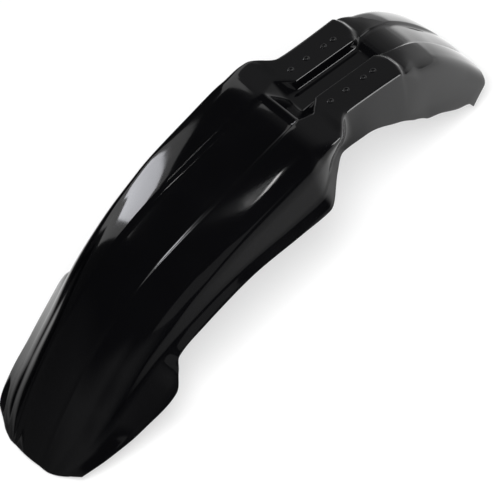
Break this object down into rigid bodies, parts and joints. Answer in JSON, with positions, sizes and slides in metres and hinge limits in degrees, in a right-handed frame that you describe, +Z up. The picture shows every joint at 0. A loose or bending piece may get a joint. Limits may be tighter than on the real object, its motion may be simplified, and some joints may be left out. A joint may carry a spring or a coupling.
{
  "type": "motorcycle front mudguard",
  "caption": "One-piece moulded front mudguard: arched nose with side ears, sunken centre panel, channelled flat fork pads and a curved-down tail.",
  "frame": {"origin": "on the ground plane under the middle of the mudguard's box, as it stands on its nose corners and tail corners", "axes": "+Z up, -Y towards the nose, +Y towards the tail, X across the machine"},
  "size_m": [0.25, 0.7684, 0.1913],
  "materials": {
    "plastic": "glossy black moulded plastic"
  },
  "bodies": {
    "root": {"mudguard": "plastic"}
  },
  "joints": []
}
